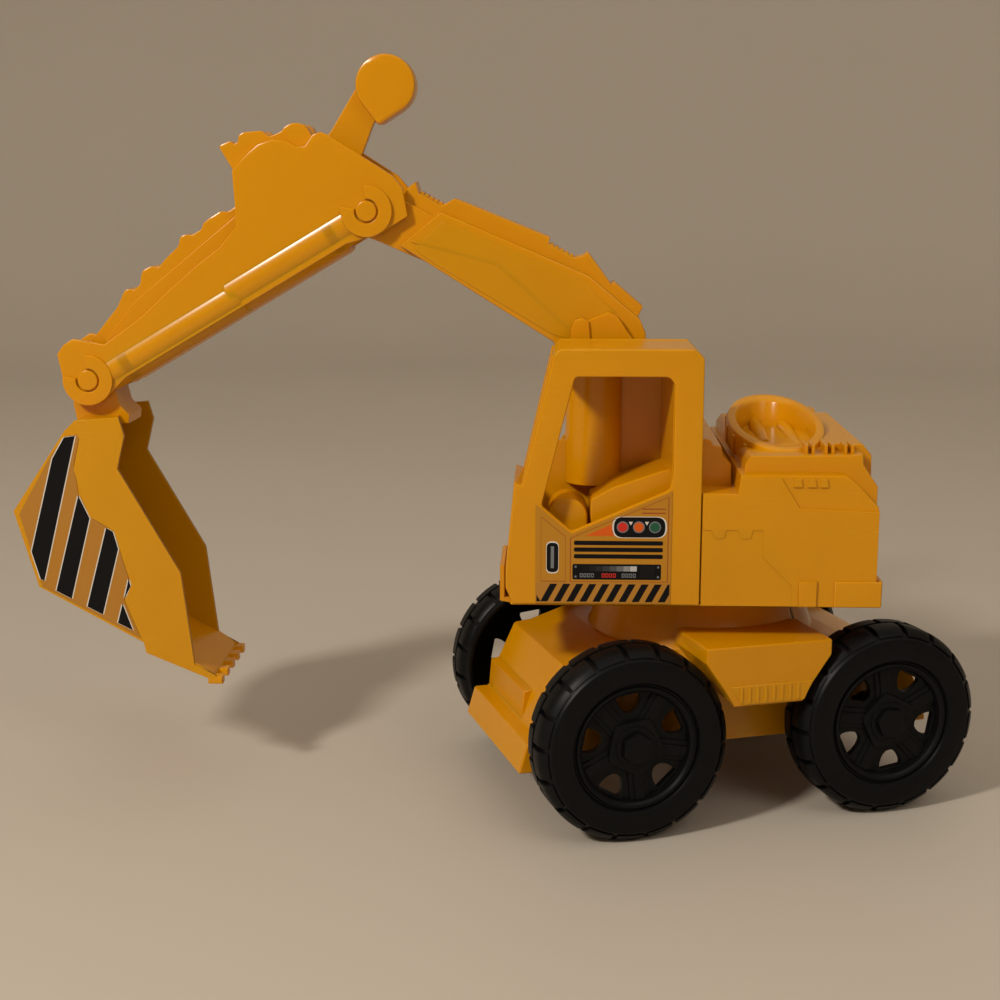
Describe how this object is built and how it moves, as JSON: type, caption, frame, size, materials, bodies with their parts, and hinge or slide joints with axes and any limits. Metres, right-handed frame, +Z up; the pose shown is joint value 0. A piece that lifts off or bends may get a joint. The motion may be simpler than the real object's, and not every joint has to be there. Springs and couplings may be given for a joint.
{
  "type": "toy excavator",
  "caption": "Yellow toy wheeled excavator with a slewing cab house, hinged boom, stick and bucket, and a hand lever on the stick that tips the bucket through a push rod.",
  "frame": {"origin": "on the floor, under the middle of the whole machine's bounding box", "axes": "+X forward, the way the cab and arm face; +Y to the machine's left, the cab's side; +Z up. The chassis stands turned 18 degrees about +Z under the house."},
  "size_m": [0.4473, 0.2128, 0.3419],
  "materials": {
    "yellow_plastic": "moulded, softly glossy",
    "black_plastic": "moulded, satin",
    "bright_steel": "plated",
    "door_sticker": "printed film",
    "bucket_sticker": "printed film"
  },
  "bodies": {
    "chassis": {"chassis_shell": "yellow_plastic"},
    "front_wheels": {"front_axle": "bright_steel", "front_left_wheel": "black_plastic", "front_right_wheel": "black_plastic", "front_left_hub_cap": "black_plastic", "front_right_hub_cap": "black_plastic"},
    "rear_wheels": {"rear_axle": "bright_steel", "rear_left_wheel": "black_plastic", "rear_right_wheel": "black_plastic", "rear_left_hub_cap": "black_plastic", "rear_right_hub_cap": "black_plastic"},
    "house": {"house_tray": "yellow_plastic", "house_shell": "yellow_plastic", "engine_block": "yellow_plastic", "right_locker": "yellow_plastic", "cab_shell": "yellow_plastic", "cab_seat": "yellow_plastic", "cab_console": "yellow_plastic", "cab_door_sticker": "door_sticker", "boom_bracket_left": "yellow_plastic", "boom_bracket_right": "yellow_plastic", "boom_foot_pin": "yellow_plastic", "slew_washer": "bright_steel", "slew_screw": "bright_steel", "house_screw_1": "bright_steel", "house_screw_2": "bright_steel", "house_screw_3": "bright_steel", "house_screw_4": "bright_steel"},
    "boom": {"boom_left_half": "yellow_plastic", "boom_right_half": "yellow_plastic", "boom_screw_1": "bright_steel", "boom_screw_2": "bright_steel"},
    "stick": {"stick_left_half": "yellow_plastic", "stick_right_half": "yellow_plastic", "stick_screw_1": "bright_steel", "stick_screw_2": "bright_steel", "stick_screw_3": "bright_steel", "elbow_pin": "yellow_plastic", "bucket_pin": "yellow_plastic", "lever_pin": "bright_steel"},
    "lever": {"grab_lever": "yellow_plastic"},
    "linkage_rod": {"push_rod": "yellow_plastic"},
    "bucket_body": {"bucket": "yellow_plastic", "bucket_sticker_left": "bucket_sticker", "bucket_sticker_right": "bucket_sticker"}
  },
  "joints": [
    {"name": "front_axle_spin", "type": "hinge", "parent": "chassis", "child": "front_wheels", "pos_m": [-0.0437, 0.01897, 0.044], "axis": [-0.309, 0.9511, 0], "continuous": true},
    {"name": "rear_axle_spin", "type": "hinge", "parent": "chassis", "child": "rear_wheels", "pos_m": [-0.16049, -0.01897, 0.044], "axis": [-0.309, 0.9511, 0], "continuous": true},
    {"name": "slew", "type": "hinge", "parent": "chassis", "child": "house", "pos_m": [-0.1021, 0, 0.102], "axis": [0, 0, 1], "continuous": true},
    {"name": "boom_pivot", "type": "hinge", "parent": "house", "child": "boom", "pos_m": [-0.0531, 0, 0.213], "axis": [0, -1, 0], "range_deg": [-10, 30]},
    {"name": "stick_pivot", "type": "hinge", "parent": "boom", "child": "stick", "pos_m": [0.05517, 0, 0.27179], "axis": [0, -1, 0], "range_deg": [-20, 30]},
    {"name": "bucket_pivot", "type": "hinge", "parent": "stick", "child": "bucket_body", "pos_m": [0.18695, 0, 0.19385], "axis": [0, -1, 0], "range_deg": [-28, 20]},
    {"name": "lever_pivot", "type": "hinge", "parent": "stick", "child": "lever", "pos_m": [0.08085, 0, 0.27984], "axis": [0, -1, 0], "range_deg": [-30, 22]},
    {"name": "rod_pivot", "type": "hinge", "parent": "lever", "child": "linkage_rod", "pos_m": [0.08714, 0, 0.28761], "axis": [0, -1, 0], "range_deg": [-22, 30]}
  ],
  "couplings": [
    {"joint": "lever_pivot", "follows": "bucket_pivot", "ratio": 1},
    {"joint": "rod_pivot", "follows": "bucket_pivot", "ratio": -1}
  ]
}
